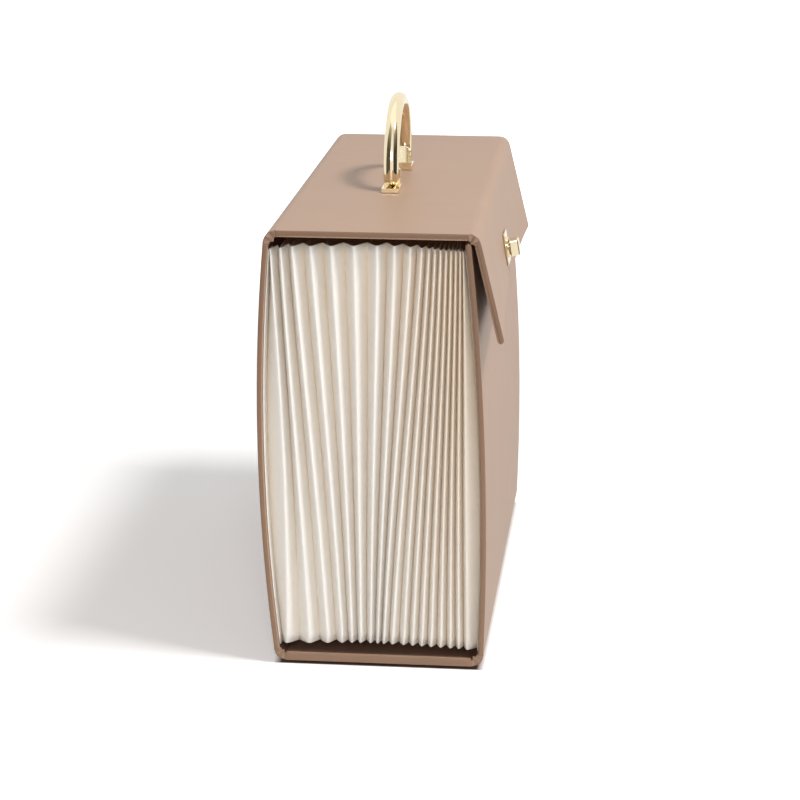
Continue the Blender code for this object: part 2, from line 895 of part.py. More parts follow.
# Keeper on the front board: a plate with two hooks, which the turned bar slides behind
keeper_x = front_outline(lock_z, 0)[0]
above_x, above_z = front_outline(lock_z + front_fold_run, 0)
keeper_lean = math.atan2(keeper_x - above_x, above_z - lock_z)
keeper_frame = Matrix.Translation((keeper_x, 0, lock_z)) @ Matrix.Rotation(-keeper_lean, 4, "Y")
keeper_mesh = box_mesh(
    "lock_keeper", (keeper_thickness, keeper_width, keeper_height), (fit_gap + keeper_thickness / 2, 0, 0)
)
keeper_mesh.transform(keeper_frame)
keeper = link_mesh("lock_keeper", keeper_mesh, steel, front_pivot, False)
hook_face = -(inner_depth + lining_thickness + fit_gap)
lock_to_keeper = keeper_frame.inverted() @ lock_frame


def hook_mesh(name, sign):
    end_y = hook_reach + hook_post
    lip_back = hook_face - hook_thickness
    middle = fit_gap + keeper_thickness / 2
    mesh = bpy.data.meshes.new(name)
    shape = bmesh.new()
    rings = []
    for z in (-hook_height / 2, hook_height / 2):
        foot = (middle - lock_to_keeper[0][2] * z - lock_to_keeper[0][3]) / lock_to_keeper[0][0]
        profile = (
            (hook_face, hook_gap),
            (hook_face, end_y),
            (foot, end_y),
            (foot, hook_reach),
            (lip_back, hook_reach),
            (lip_back, hook_gap),
        )
        rings.append([shape.verts.new((x, sign * y, z)) for x, y in profile])
    shape.faces.new(rings[0])
    shape.faces.new(rings[1])
    for start, end in zip(range(6), (1, 2, 3, 4, 5, 0)):
        shape.faces.new((rings[0][start], rings[0][end], rings[1][end], rings[1][start]))
    shape.to_mesh(mesh)
    shape.free()
    face_outwards(mesh)
    return mesh


hooks = merged("keeper_hooks", [hook_mesh("hook", sign) for sign in (-1, 1)])
boolean(keeper, "UNION", cutter("keeper_hooks", hooks, lock_frame))

studs = []
stud_holes = []
backing_face = -(board_thickness + fit_gap + lining_thickness + fit_gap)
backing_back = backing_face - keeper_backing_thickness
for y in (-stud_spread_y, stud_spread_y):
    for z in (-stud_spread_z, stud_spread_z):
        studs.append(rod_mesh("stud", stud_radius, (backing_back, y, z), (fit_gap + keeper_thickness / 2, y, z)))
        stud_holes.append(
            rod_mesh("stud_hole", stud_radius + fit_gap, (backing_back - cut_overrun, y, z), (fit_gap, y, z))
        )
boolean(keeper, "UNION", cutter("keeper_studs", merged("keeper_studs", studs), keeper_frame))
stud_cut = cutter("stud_holes", merged("stud_holes", stud_holes), keeper_frame)
backing_mesh = box_mesh(
    "lock_keeper_backing",
    (keeper_backing_thickness, keeper_width, keeper_height),
    (backing_face - keeper_backing_thickness / 2, 0, 0),
)
backing_mesh.transform(keeper_frame)
keeper_backing = link_mesh("lock_keeper_backing", backing_mesh, steel, front_pivot, False)
for item in (keeper_backing, front_board, parts.objects["front_lining"]):
    boolean(item, "DIFFERENCE", stud_cut)

bpy.context.view_layer.update()
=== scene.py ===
import math

import bmesh
import bpy
from mathutils import Matrix, Vector


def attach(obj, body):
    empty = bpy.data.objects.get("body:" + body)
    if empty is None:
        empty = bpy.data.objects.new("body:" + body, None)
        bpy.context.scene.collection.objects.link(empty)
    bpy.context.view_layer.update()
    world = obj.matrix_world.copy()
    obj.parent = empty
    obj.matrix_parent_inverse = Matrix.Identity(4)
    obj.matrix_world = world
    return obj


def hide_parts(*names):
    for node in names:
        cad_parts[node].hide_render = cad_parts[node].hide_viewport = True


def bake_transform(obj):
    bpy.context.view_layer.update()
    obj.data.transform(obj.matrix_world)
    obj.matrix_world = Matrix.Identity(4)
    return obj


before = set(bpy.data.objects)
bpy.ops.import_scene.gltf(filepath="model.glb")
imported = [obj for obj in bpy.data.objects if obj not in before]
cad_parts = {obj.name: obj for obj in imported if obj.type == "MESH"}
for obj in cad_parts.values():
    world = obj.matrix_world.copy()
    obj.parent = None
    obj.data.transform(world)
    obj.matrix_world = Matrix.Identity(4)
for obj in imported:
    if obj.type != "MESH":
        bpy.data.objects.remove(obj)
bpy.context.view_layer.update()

# Sizes of the case, in metres: half its length, half its base, its height, the folds at its base
HALF = 0.165
BASE_HALF = 0.0621
HEIGHT = 0.2592
FOLD_R = 0.0075
FOLD_C = BASE_HALF - FOLD_R

# Back board's lean and bow, and the fold from it into the lid
BACK_LEAN, BACK_BOW = 0.0037, 0.0063
CORNER_RUN, CORNER_DROP = 0.0080, 0.0083
BACK_TOP_Z = HEIGHT - CORNER_DROP

# Lid, and the fold from it into the flap, which runs a little askew
LID_START = -BASE_HALF - BACK_LEAN + CORNER_RUN
LID_REACH, FOLD_RUN, FOLD_SKEW = 0.0553, 0.0065, 0.0022
LID_END = LID_REACH - FOLD_RUN

# Flap, hanging outwards, its tip drawn in at the middle
FLAP_LENGTH, FLAP_ANGLE, FLAP_DIP = 0.0646, math.radians(13.66), 0.0047

# Front board: its lean and bow, and how far its top is drawn in at the far end and at the middle
FRONT_TOP, FRONT_LEAN, FRONT_BOW = 0.2540, 0.0091, 0.0044
TOP_SKEW, TOP_DIP = 0.0034, 0.0020
FRONT_EDGE = FRONT_TOP - 0.0003

# Thickness: lid and flap, back and front, base, folds, and the rims of all boards but the base
WALL, SIDE_WALL, BASE_WALL, FOLD_WALL, EDGE_WALL = 0.0039, 0.0033, 0.0050, 0.0041, 0.0028

# Rounding of the ends, how far the cover turns in, and how far a fold's creases and its rim reach
EDGE_R, TURN_IN, FOLD_INSET, FOLD_TAB = 0.0006, 0.0015, 0.0009, 0.0018

# Distance of the pleats' outer and inner folds from the middle of the case
OUT_Y, IN_Y = 0.1630, 0.1520


# Outer faces of the case: x and z at a place along each and at a y
def arch(s):
    """0 at both ends and 1 in the middle"""
    return 4 * s * (1 - s)


def fold_x(y):
    return LID_REACH - FOLD_SKEW * y / HALF


def base_outline(x, y):
    return x, 0.0


def back_outline(z, y):
    s = (z - FOLD_R) / (BACK_TOP_Z - FOLD_R)
    return -BASE_HALF - BACK_LEAN * s - BACK_BOW * arch(s), z


def front_outline(z, y):
    s = (z - FOLD_R) / (FRONT_TOP - FOLD_R)
    a = y / HALF
    drawn = TOP_SKEW * (1 + a) / 2 + TOP_DIP * (1 - a * a)
    return BASE_HALF - FRONT_LEAN * s + FRONT_BOW * arch(s) - drawn * max(s, 0) ** 4, z


def lid_outline(x, y):
    s = (x - LID_START) / (LID_END - LID_START)
    return x + (fold_x(y) - LID_REACH) * s, HEIGHT


def flap_outline(d, y):
    dip = FLAP_DIP * (1 - (y / HALF) ** 2) * d / FLAP_LENGTH
    return fold_x(y) + d * math.sin(FLAP_ANGLE) - dip, HEIGHT - d * math.cos(FLAP_ANGLE)


def base_back_fold(t, y):
    a = t * math.pi / 2
    return -FOLD_C - FOLD_R * math.sin(a), FOLD_R * (1 - math.cos(a))


def base_front_fold(t, y):
    x, z = base_back_fold(t, y)
    return -x, z


def back_lid_fold(t, y):
    a = t * math.pi / 2
    return LID_START - CORNER_RUN * math.cos(a), BACK_TOP_Z + CORNER_DROP * math.sin(a)


def lid_flap_fold(t, y):
    end_x, end_z = flap_outline(FOLD_RUN, y)
    r = 1 - t
    x = r * r * (fold_x(y) - FOLD_RUN) + 2 * r * t * fold_x(y) + t * t * end_x
    return x, (r * r + 2 * r * t) * HEIGHT + t * t * end_z


def at_depth(outline, place, y, depth, side):
    """A point under an outline's face, square to it"""
    step = 1e-4
    x0, z0 = outline(place - step, y)
    x1, z1 = outline(place + step, y)
    x, z = outline(place, y)
    length = math.hypot(x1 - x0, z1 - z0)
    return Vector((x - side * depth * (z1 - z0) / length, y, z + side * depth * (x1 - x0) / length))


# Node helpers: each adds what it is named after, and returns the socket to link on from
def node_material(name):
    material = bpy.data.materials.new(name)
    material.use_nodes = True
    nodes, links = material.node_tree.nodes, material.node_tree.links
    return material, nodes, links, nodes["Principled BSDF"]


def texture_place(nodes, links, stretch=(1, 1, 1)):
    coords = nodes.new("ShaderNodeTexCoord")
    mapping = nodes.new("ShaderNodeMapping")
    mapping.inputs["Scale"].default_value = stretch
    links.new(coords.outputs["Object"], mapping.inputs["Vector"])
    return mapping.outputs["Vector"]


def axes(nodes, links, vector):
    node = nodes.new("ShaderNodeSeparateXYZ")
    links.new(vector, node.inputs[0])
    return node.outputs


def noise(nodes, links, scale, detail, rough, stretch=(1, 1, 1)):
    node = nodes.new("ShaderNodeTexNoise")
    node.inputs["Scale"].default_value = scale
    node.inputs["Detail"].default_value = detail
    node.inputs["Roughness"].default_value = rough
    links.new(texture_place(nodes, links, stretch), node.inputs["Vector"])
    return node.outputs["Fac"]


def maths(nodes, links, operation, *values):
    node = nodes.new("ShaderNodeMath")
    node.operation = operation
    for value, socket in zip(values, node.inputs):
        links.new(value, socket)
    return node.outputs[0]


def ranged(nodes, links, value, start, end, low=0.0, high=1.0):
    """Low where the value is at its start, high where it is at its end"""
    node = nodes.new("ShaderNodeMapRange")
    node.inputs["From Min"].default_value = start
    node.inputs["From Max"].default_value = end
    node.inputs["To Min"].default_value = low
    node.inputs["To Max"].default_value = high
    links.new(value, node.inputs["Value"])
    return node.outputs["Result"]


def ramp(nodes, links, value, start, first, end, second):
    """The first colour up to the start, the second from the end on"""
    node = nodes.new("ShaderNodeValToRGB")
    for element, place, colour in zip(node.color_ramp.elements, (start, end), (first, second)):
        element.position = place
        element.color = (*colour, 1)
    links.new(value, node.inputs["Fac"])
    return node.outputs["Color"]


def shade(colour, factor):
    return tuple(c * factor for c in colour)


def tones(nodes, links, value, colour, dark=0.97, light=1.02, start=0.3, end=0.7):
    """A colour that varies with the value, from a little darker to a little lighter"""
    return ramp(nodes, links, value, start, shade(colour, dark), end, shade(colour, light))


def mixed(nodes, links, share, first, second):
    node = nodes.new("ShaderNodeMix")
    node.data_type = "RGBA"
    if isinstance(share, float):
        node.inputs["Factor"].default_value = share
    else:
        links.new(share, node.inputs["Factor"])
    # Inputs 6 and 7 and output 2 are the ones for colours
    links.new(first, node.inputs[6])
    links.new(second, node.inputs[7])
    return node.outputs[2]


def washed(nodes, links, base, share, colour):
    """The base colour, multiplied by the other one as far as the share goes"""
    wash = ramp(nodes, links, share, 0.0, (1, 1, 1), 1.0, colour)
    result = mixed(nodes, links, 1.0, base, wash)
    result.node.blend_type = "MULTIPLY"
    return result


def bumped(nodes, links, shader, heights):
    """Bumps of (height, strength, distance), one on the other"""
    normal = None
    for value, strength, distance in heights:
        node = nodes.new("ShaderNodeBump")
        node.inputs["Strength"].default_value = strength
        node.inputs["Distance"].default_value = distance
        links.new(value, node.inputs["Height"])
        if normal is not None:
            links.new(normal, node.inputs["Normal"])
        normal = node.outputs["Normal"]
    links.new(normal, shader.inputs["Normal"])


# Where the painted shade at the boards' ends starts and where it is full, and how it grows upwards
END_SHADE_FROM, END_SHADE_TO = HALF - EDGE_R - 0.0003, HALF - 0.0002
END_SHADE_LOW_Z, END_SHADE_HIGH_Z, END_SHADE_LOW_SHARE = 0.02, HEIGHT - 0.01, 0.7


# Leatherette: a faint grain that runs round the case, slight mottling, pores, and painted shade at the
# boards' ends
def painted_end_shade(nodes, links, tint, edge):
    """Painted shade: darker at the boards' two ends, and more so higher up"""
    place = axes(nodes, links, texture_place(nodes, links))
    reach = maths(nodes, links, "ABSOLUTE", place["Y"])
    at_end = ranged(nodes, links, reach, END_SHADE_FROM, END_SHADE_TO)
    height = ranged(nodes, links, place["Z"], END_SHADE_LOW_Z, END_SHADE_HIGH_Z, low=END_SHADE_LOW_SHARE)
    return washed(nodes, links, tint, maths(nodes, links, "MULTIPLY", at_end, height), edge)


def leatherette(name, colour, roughness, contrast=1.0, edge=None):
    material, nodes, links, shader = node_material(name)
    grain = noise(nodes, links, scale=1.0, detail=4, rough=0.7, stretch=(9, 520, 9))
    mottle = noise(nodes, links, scale=16, detail=3, rough=0.55)
    pores = noise(nodes, links, scale=1900, detail=2, rough=0.5)
    streaks = tones(nodes, links, grain, colour, dark=1 - 0.11 * contrast, light=1 + 0.09 * contrast)
    patches = tones(nodes, links, mottle, colour, dark=0.96, light=1.03)
    tint = mixed(nodes, links, 0.45, streaks, patches)
    # The edge colour is painted shade at the boards' ends
    if edge:
        tint = painted_end_shade(nodes, links, tint, edge)
    links.new(tint, shader.inputs["Base Color"])
    rough = ramp(nodes, links, grain, 0.3, (roughness - 0.05,) * 3, 0.7, (roughness + 0.06,) * 3)
    links.new(rough, shader.inputs["Roughness"])
    bumped(nodes, links, shader, ((grain, 0.25, 0.00012), (pores, 0.22, 0.00008)))
    shader.inputs["Specular IOR Level"].default_value = 0.42
    return material


# Where the painted shade towards the pleats' inner folds starts, and how far to the front and up the case
# they turn yellower
INNER_FROM, TINT_X = OUT_Y - 0.0005, 0.045
TINT_LOW_Z, TINT_HIGH_Z, TINT_LOW_SHARE = 0.02, 0.2, 0.3
YELLOW_TINT = (1, 0.9, 0.79)


# Paper: fine fibres and broad patches; on the pleats, painted shade towards the inner folds and a yellower
# tint towards the front and the top
def pleat_shade_and_tint(nodes, links, tint, patch, inner):
    """Painted shade: the inner colour towards the inner folds; and all yellower towards the front and the
    top
    """
    place = axes(nodes, links, texture_place(nodes, links))
    reach = maths(nodes, links, "ABSOLUTE", place["Y"])
    depth = ranged(nodes, links, reach, INNER_FROM, IN_Y)
    tint = mixed(nodes, links, depth, tint, tones(nodes, links, patch, inner))
    across = ranged(nodes, links, place["X"], 0.0, TINT_X)
    height = ranged(nodes, links, place["Z"], TINT_LOW_Z, TINT_HIGH_Z, low=TINT_LOW_SHARE)
    return washed(nodes, links, tint, maths(nodes, links, "MULTIPLY", across, height), YELLOW_TINT)


def paper_material(name, colour, roughness=0.75, inner=None):
    material, nodes, links, shader = node_material(name)
    fibre = noise(nodes, links, scale=700, detail=4, rough=0.6, stretch=(1, 1, 0.35))
    patch = noise(nodes, links, scale=28, detail=3, rough=0.5, stretch=(1, 1, 0.3))
    fine = tones(nodes, links, fibre, colour, dark=0.965, start=0.35, end=0.65)
    tint = mixed(nodes, links, 0.5, fine, tones(nodes, links, patch, colour))
    # The inner colour is painted shade in the pleats' folds
    if inner:
        tint = pleat_shade_and_tint(nodes, links, tint, patch, inner)
    links.new(tint, shader.inputs["Base Color"])
    shader.inputs["Roughness"].default_value = roughness
    shader.inputs["Specular IOR Level"].default_value = 0.25
    bumped(nodes, links, shader, ((fibre, 0.3, 0.00006), (patch, 0.1, 0.0004)))
    return material


# Metal: slight smudges, and fine lines along X and Z
def metal_material(name, colour, roughness, brushed=0.0):
    material, nodes, links, shader = node_material(name)
    smudge = noise(nodes, links, scale=120, detail=3, rough=0.5)
    lines = noise(nodes, links, scale=1.0, detail=2, rough=0.5, stretch=(600, 9000, 600))
    links.new(tones(nodes, links, smudge, colour), shader.inputs["Base Color"])
    rough = ramp(nodes, links, smudge, 0.35, (roughness * 0.85,) * 3, 0.7, (roughness * 1.25,) * 3)
    links.new(rough, shader.inputs["Roughness"])
    shader.inputs["Metallic"].default_value = 1
    bumped(nodes, links, shader, ((lines, 0.05 + brushed, 0.00002),))
    return material


COVER = (0.388, 0.250, 0.169)
# The lining's own dark brown, made darker still as painted shade inside the case
LINING = (0.120, 0.066, 0.045)
# The cover's edge colour is painted shade at the boards' ends, darker higher up
cover = leatherette("cover_leatherette", COVER, roughness=0.47, edge=(0.58, 0.51, 0.44))
lining = leatherette("lining_leatherette", LINING, roughness=0.6, contrast=0.8)
# The pleats' inner colour is painted shade in their folds
paper = paper_material("pleat_paper", (0.825, 0.792, 0.742), inner=(0.87, 0.782, 0.665))
# A darker paper: painted shade on the last flank beside the front board
end_flank_shade = paper_material("end_flank_painted_shade", (0.54, 0.495, 0.44))
card = paper_material("divider_card", (0.72, 0.65, 0.55), roughness=0.8)
gold = metal_material("pale_gold", (0.90, 0.77, 0.52), roughness=0.07)
steel = metal_material("plain_steel", (0.55, 0.55, 0.56), roughness=0.32, brushed=0.2)

# A faint glow keeps the lining and the dividers, deep in the case, from going black
INSIDE_GLOW = (0.006, 0.0024, 0.0012, 1)
for deep in (lining, card):
    shader = deep.node_tree.nodes["Principled BSDF"]
    shader.inputs["Emission Color"].default_value = INSIDE_GLOW
    shader.inputs["Emission Strength"].default_value = 1


# Mesh helpers
def linked(name, data):
    item = bpy.data.objects.new(name, data)
    bpy.context.scene.collection.objects.link(item)
    return item


def new_object(name, verts, faces, materials, face_slots=None, smooth=True):
    mesh = bpy.data.meshes.new(name)
    mesh.from_pydata([tuple(v) for v in verts], [], faces)
    for material in materials:
        mesh.materials.append(material)
    for index, face in enumerate(mesh.polygons):
        face.use_smooth = smooth
        if face_slots is not None:
            face.material_index = face_slots[index]
    mesh.validate()
    return linked(name, mesh)


def ring_faces(rings, sides, closed=False):
    """Quads between rings of points; closed joins the last ring to the first"""
    faces = []
    for i in range(rings if closed else rings - 1):
        j = (i + 1) % rings
        for s in range(sides):
            t = (s + 1) % sides
            faces.append((i * sides + s, j * sides + s, j * sides + t, i * sides + t))
    return faces


def end_faces(rings, sides):
    last = (rings - 1) * sides
    return [tuple(range(sides)), tuple(last + s for s in reversed(range(sides)))]


def face_outwards(item, weld=0.0):
    shape = bmesh.new()
    shape.from_mesh(item.data)
    if weld:
        bmesh.ops.remove_doubles(shape, verts=shape.verts, dist=weld)
    bmesh.ops.recalc_face_normals(shape, faces=shape.faces)
    shape.to_mesh(item.data)
    shape.free()


def weight_normals(item):
    item.modifiers.new("normals", "WEIGHTED_NORMAL").keep_sharp = False


def bake(item):
    bpy.context.view_layer.update()
    mesh = bpy.data.meshes.new_from_object(item.evaluated_get(bpy.context.evaluated_depsgraph_get()))
    item.modifiers.clear()
    item.data = mesh


def thicken(item, thickness):
    thick = item.modifiers.new("thickness", "SOLIDIFY")
    thick.thickness = thickness
    thick.offset = 0
    bake(item)


# A covered board, folds included, is a closed tube of loops round its section, one for each station.
# A station holds an outline, a place on it, the lining's side, the depths of the outer and the inner
# face, how far the section's ends draw in, and how much thicker its rim is. The lining's side is the
# LEFT or the RIGHT of the outline's direction, seen with x to the right and z up.
LEFT, RIGHT = 1, -1
CORNER_STEPS, EDGE_STEPS = 4, 6

# Spacing across the flat of a section, the closer places near its ends, and where its rim starts
FLAT_STEP, NEAR_END, RIM = 0.008, (0, 0.0004, 0.0012, 0.0028), HALF - EDGE_R - 0.0002

# A corner's radius stays under half of the edge, and a free edge isn't rounded down to nothing
UNDER_HALF, NEARLY_FULL = 0.48, 0.97


def flat_places():
    inner = HALF - EDGE_R
    span = inner - NEAR_END[-1]
    count = round(2 * span / FLAT_STEP)
    middle = [-span + 2 * span * i / count for i in range(1, count)]
    return [-inner + n for n in NEAR_END] + middle + [inner - n for n in reversed(NEAR_END)]


def loop_points(station, flats):
    """One section's points, and whether each is on the lined side"""
    outline, place, side, top, bottom, inset, tab = station
    edge = bottom + tab if bottom > WALL else min(bottom, EDGE_WALL)
    radius = min(EDGE_R, (edge - top) * UNDER_HALF)
    centre = HALF - inset - radius
    points, lined = [], []

    def add(y, depth, inside):
        points.append(at_depth(outline, place, y, depth, side))
        lined.append(inside)

    def corner(sign, inside, rising):
        for step in range(CORNER_STEPS + 1):
            a = math.pi / 2 * (step if rising else CORNER_STEPS - step) / CORNER_STEPS
            drop = radius * (1 - math.cos(a))
            add(sign * (centre + radius * math.sin(a)), edge - drop if inside else top + drop, inside)

    for y in flats:
        add(y, top, False)
    corner(1, False, True)
    corner(1, True, False)
    for y in reversed(flats):
        add(y, edge if abs(y) > RIM else bottom, True)
    corner(-1, True, True)
    corner(-1, False, False)
    return points, lined


def wrap(name, stations):
    flats = flat_places()
    loops = [loop_points(station, flats) for station in stations]
    lined = loops[0][1]
    count = len(lined)
    slots = []
    for points, _ in loops[:-1]:
        for i in range(count):
            j = (i + 1) % count
            reach = max(abs(points[i].y), abs(points[j].y))
            slots.append(1 if lined[i] and lined[j] and reach < HALF - TURN_IN else 0)
    slots += [0, 0]
    verts = [point for points, _ in loops for point in points]
    faces = ring_faces(len(loops), count) + end_faces(len(loops), count)
    item = new_object(name, verts, faces, (cover, lining), slots)
    face_outwards(item)
    for face in item.data.polygons:
        face.use_smooth = len(face.vertices) == 4
    return item


def run(outline, start, end, count, side, wall=WALL):
    places = [start + (end - start) * i / count for i in range(count + 1)]
    return [(outline, place, side, 0.0, wall, 0.0, 0.0) for place in places]


def free_edge(outline, end, side, wall=WALL):
    """The rounded edge of a board that ends free"""
    radius = wall / 2
    stations = []
    for i in range(1, EDGE_STEPS + 1):
        a = math.pi / 2 * i / EDGE_STEPS
        cut = radius * (1 - math.cos(a)) * NEARLY_FULL
        stations.append((outline, end - radius * (1 - math.sin(a)), side, cut, wall - cut, 0.0, 0.0))
    return stations


# A fold's steps and the places added by its ends, as shares of it; how long each end stays plain, how
# many creases there are, and how far from the middle its rim is fuller
FOLD_STEPS, FOLD_ENDS = 14, (0.03, 0.05, 0.95, 0.97)
PLAIN_END, CREASES, RIM_REACH = 0.04, 2.5, 0.32


def fold_run(outline, side):
    """A fold, thicker than the boards, with creased ends and a rim that is fuller in the middle"""
    stations = []
    for t in sorted([*FOLD_ENDS, *(i / FOLD_STEPS for i in range(1, FOLD_STEPS))]):
        ease = 0.0 if min(t, 1 - t) < PLAIN_END else 1.0
        wall = SIDE_WALL + (FOLD_WALL - SIDE_WALL) * ease
        inset = FOLD_INSET * ease * (1 - 2 * abs((CREASES * t) % 1 - 0.5))
        tab = FOLD_TAB * max(0, 1 - abs(t - 0.5) / RIM_REACH)
        stations.append((outline, t, side, 0.0, wall, inset, tab))
    return stations


# Two loops this close, in metres or as a share of a fold, keep the shading crisp beside an end
CRISP, CRISP_SHARE = 0.00001, 0.0001
BOARD_STEPS, TALL_STEPS, FLAP_STEPS = 14, 34, 12

lower = run(base_outline, -FOLD_C, -FOLD_C + CRISP, 1, LEFT, BASE_WALL)
lower += run(base_outline, -FOLD_C + 2 * CRISP, FOLD_C, BOARD_STEPS, LEFT, BASE_WALL)
lower += fold_run(base_front_fold, LEFT)
lower += run(front_outline, FOLD_R, FRONT_EDGE - SIDE_WALL / 2, TALL_STEPS, LEFT, SIDE_WALL)
lower += free_edge(front_outline, FRONT_EDGE, LEFT, SIDE_WALL)
case_lower = wrap("base_and_front", lower)

upper = run(base_back_fold, 0.0, CRISP_SHARE, 1, RIGHT) + fold_run(base_back_fold, RIGHT)
upper += run(back_outline, FOLD_R, BACK_TOP_Z, TALL_STEPS, RIGHT, SIDE_WALL)
upper += fold_run(back_lid_fold, RIGHT)
upper += run(lid_outline, LID_START, LID_END - 2 * CRISP, BOARD_STEPS, RIGHT)
upper += run(lid_outline, LID_END - CRISP, LID_END, 1, RIGHT)
case_upper = wrap("back_and_lid", upper)

hanging = run(lid_flap_fold, 0.0, CRISP_SHARE, 1, RIGHT) + fold_run(lid_flap_fold, RIGHT)
hanging += run(flap_outline, FOLD_RUN, FLAP_LENGTH - WALL / 2, FLAP_STEPS, RIGHT)
hanging += free_edge(flap_outline, FLAP_LENGTH, RIGHT)
flap = wrap("flap", hanging)

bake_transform(case_lower)
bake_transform(case_upper)
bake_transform(flap)
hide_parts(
    "base_board", "base_front_cover_strip", "base_front_lining_strip", "front_board",
    "base_lining", "front_lining",
)
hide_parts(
    "base_back_cover_strip", "base_back_lining_strip", "back_board", "back_lining",
    "back_lid_cover_strip", "back_lid_lining_strip", "lid_board", "lid_lining",
)
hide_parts("lid_flap_cover_strip", "lid_flap_lining_strip", "flap_board", "flap_lining")

# Pleated gussets: each outer fold's share of the way from the back board to the front board, at the
# pleats' foot, middle and top
SHARES = (
    (0.0000, 0.0000, 0.0000), (0.0608, 0.0845, 0.0034), (0.1582, 0.1405, 0.0569), (0.2459, 0.2116, 0.1168),
    (0.3187, 0.2896, 0.2120), (0.3720, 0.3653, 0.3169), (0.4202, 0.4391, 0.4331), (0.4734, 0.5160, 0.5515),
    (0.5127, 0.5762, 0.6389), (0.5463, 0.6279, 0.7210), (0.5897, 0.6755, 0.7793), (0.6429, 0.7173, 0.8164),
    (0.6863, 0.7552, 0.8463), (0.7297, 0.7886, 0.8749), (0.7730, 0.8219, 0.9029), (0.8165, 0.8523, 0.9270),
    (0.8598, 0.8809, 0.9520), (0.8983, 0.9099, 0.9740), (0.9383, 0.9397, 0.9890), (1.0000, 1.0000, 1.0000),
)
LAST = len(SHARES) - 1
FOOT_Z, TOP_Z = 0.0390, 0.2500
MIDDLE_Z = (FOOT_Z + TOP_Z) / 2

# The outermost inner folds' share of the way, the gap to each board, the paper, and rows up a gusset
END_SHARE, LEAF, PAPER, ROWS = 0.006, 0.0036, 0.0004, 44

# Places across a flank, and how round its outer fold is
FLANK = (0.0, 0.05, 0.16, 0.32, 0.5, 0.68, 0.84, 0.95)
CREST = 0.2

# How deep the pleats are at their foot, and how much shallower towards the front at their top
FOOT_DEPTH, NARROWER, NARROW_FROM, NARROW_OVER = 0.60, 0.32, 0.5, 0.25

# Lower edge at the two boards, its rise in the middle, and how much lower the inner folds hang
PLEAT_FOOT, FOOT_RISE, DROOP = 0.0094, 0.0026, 0.0002

# Height of the gusset's top edge at shares of the way from the back to the front
TOPS = (
    (0.0, 0.2479), (0.12, 0.2484), (0.21, 0.2498), (0.43, 0.2508), (0.56, 0.2514), (0.72, 0.2500),
    (0.83, 0.2490), (1.0, 0.2486),
)


def ridge_share(ridge, z):
    foot, middle, top = SHARES[ridge]
    u = (z - FOOT_Z) / (TOP_Z - FOOT_Z)
    return foot * (1 - u) * (1 - 2 * u) + middle * arch(u) + top * u * (2 * u - 1)


def valley_share(valley, z):
    if valley == 0:
        return END_SHARE
    if valley == LAST - 1:
        return 1 - END_SHARE
    return (ridge_share(valley, z) + ridge_share(valley + 1, z)) / 2


def flank_share(ridge, valley, reach, z):
    start = ridge_share(ridge, z)
    return start + (valley_share(valley, z) - start) * reach


def share_x(share, z, y):
    start = back_outline(z, y)[0] + LEAF
    end = front_outline(z, y)[0] - LEAF
    return start + share * (end - start)


def between(table, place):
    for (x0, y0), (x1, y1) in zip(table, table[1:]):
        if place <= x1:
            return y0 + (y1 - y0) * (place - x0) / (x1 - x0)
    return table[-1][1]


def pleat_columns():
    """Each column's outer fold, inner fold, and reach: 0 at the outer fold and 1 at the inner one"""
    columns = []
    for valley in range(LAST):
        columns += [(valley, valley, t) for t in FLANK]
        columns += [(valley + 1, valley, 1 - t) for t in FLANK]
    columns.append((LAST, LAST - 1, 0.0))
    return columns


def gusset_point(side, v, ridge, valley, reach):
    """A point on the pleats; v is 0 at their foot and 1 at their top"""
    middle = flank_share(ridge, valley, reach, MIDDLE_Z)
    droop = DROOP * reach
    foot = PLEAT_FOOT + FOOT_RISE * arch(middle) - droop
    top = between(TOPS, middle) - droop
    z = foot + v * (top - foot)
    y_share = (math.hypot(reach, CREST) - CREST) / (math.hypot(1, CREST) - CREST)
    narrow = NARROWER * min(max((middle - NARROW_FROM) / NARROW_OVER, 0), 1)
    depth_share = FOOT_DEPTH + (1 - FOOT_DEPTH - narrow) * v
    y = side * (OUT_Y + (IN_Y - OUT_Y) * y_share * depth_share)
    return share_x(flank_share(ridge, valley, reach, z), z, y), y, z


def gusset(name, side):
    columns = pleat_columns()
    count = len(columns)
    verts = [gusset_point(side, row / ROWS, *column) for row in range(ROWS + 1) for column in columns]
    # The last flank, beside the front board, takes a darker paper as painted shade, apart from the strips
    # at its inner fold
    end_flank = count + 1 - len(FLANK)
    faces, slots = [], []
    for row in range(ROWS):
        for i in range(count - 1):
            a = row * count + i
            quad = (a, a + 1, a + 1 + count, a + count)
            faces.append(quad if side < 0 else tuple(reversed(quad)))
            slots.append(1 if i >= end_flank else 0)
    item = new_object(name, verts, faces, (paper, end_flank_shade), slots)
    thicken(item, PAPER)
    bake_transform(item)
    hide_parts("gusset_near" if side < 0 else "gusset_far")


gusset("pleated_gusset_near", -1)
gusset("pleated_gusset_far", 1)

# Half the pocket floor's length, its height at the outer folds, and how much higher the inner ones are
POCKET_HALF, POCKET_LOW, POCKET_RISE = 0.1515, 0.0085, 0.0045


def floor_pleats():
    columns = pleat_columns()
    places = (-POCKET_HALF, 0, POCKET_HALF)
    across = len(places)
    verts, faces = [], []
    for ridge, valley, reach in columns:
        rounded = 0.5 - 0.5 * math.cos(math.pi * reach)
        z = POCKET_LOW + POCKET_RISE * (reach + rounded) / 2
        share = flank_share(ridge, valley, reach, z)
        verts += [(share_x(share, z, y), y, z) for y in places]
    for i in range(len(columns) - 1):
        for j in range(across - 1):
            a = i * across + j
            faces.append((a, a + across, a + across + 1, a + 1))
    item = new_object("pleated_floor", verts, faces, (paper,))
    thicken(item, PAPER)
    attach(item, "case")
    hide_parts("pocket_floor")


floor_pleats()

